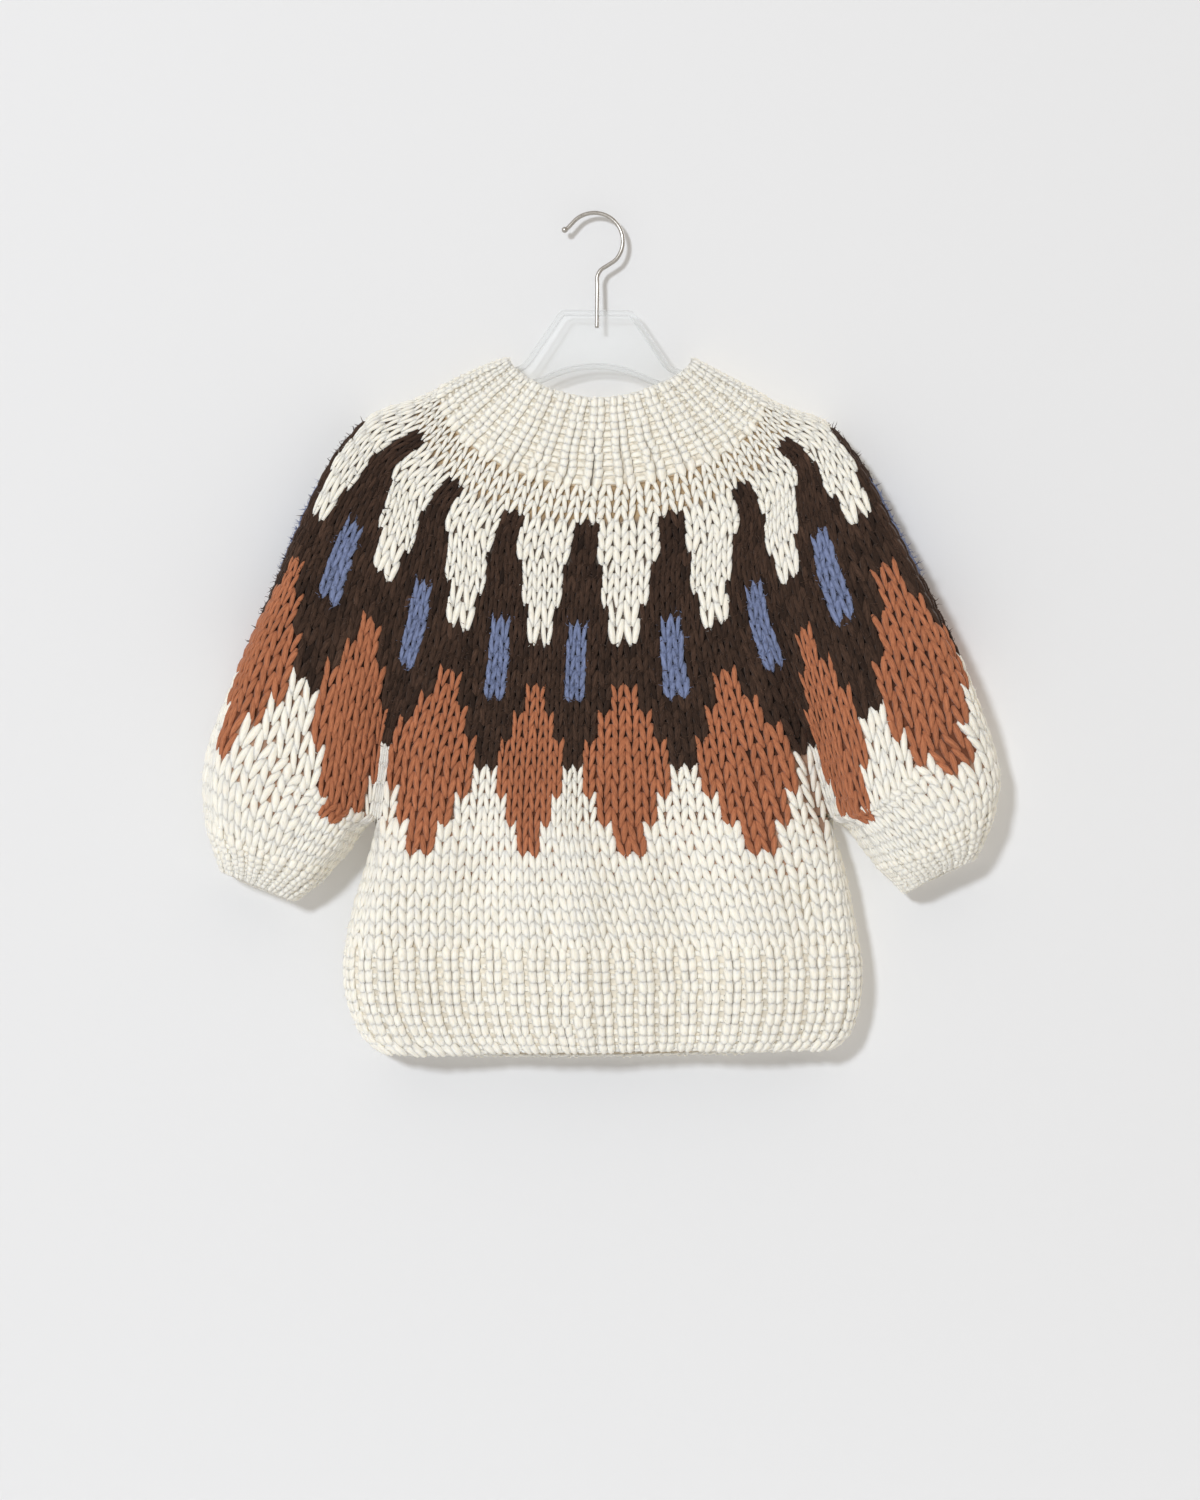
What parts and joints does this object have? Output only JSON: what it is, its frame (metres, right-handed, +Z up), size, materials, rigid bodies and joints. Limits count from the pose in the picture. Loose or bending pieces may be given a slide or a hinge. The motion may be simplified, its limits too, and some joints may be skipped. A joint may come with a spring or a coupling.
{
  "type": "jacquard sweater on a clothes hanger",
  "caption": "Chunky hand-knit round-yoke sweater with puffed elbow sleeves and ribbed edges, hanging on a clear hanger by its wire hook.",
  "frame": {"origin": "underside of the hook's crown, where a nail, peg or rail carries the hanger", "axes": "+Z up, +X to the right as seen from the front, +Y away from the viewer, towards the wall"},
  "size_m": [0.6835, 0.0715, 0.7262],
  "materials": {
    "cream_rib": "chunky soft wool, knit 1 purl 1 rib",
    "cream_knit": "chunky soft wool, stockinette",
    "patterned_knit": "chunky soft wool, stockinette colour pattern in cream, dark brown, rust and blue",
    "clear_plastic": "clear moulded plastic",
    "steel": "bright steel wire"
  },
  "bodies": {
    "root": {"neckband": "cream_rib", "yoke": "patterned_knit", "body": "cream_knit", "hem_rib": "cream_rib", "sleeve_left": "cream_knit", "sleeve_right": "cream_knit", "cuff_left": "cream_rib", "cuff_right": "cream_rib", "hanger_body": "clear_plastic", "hanger_hook": "steel"}
  },
  "joints": []
}
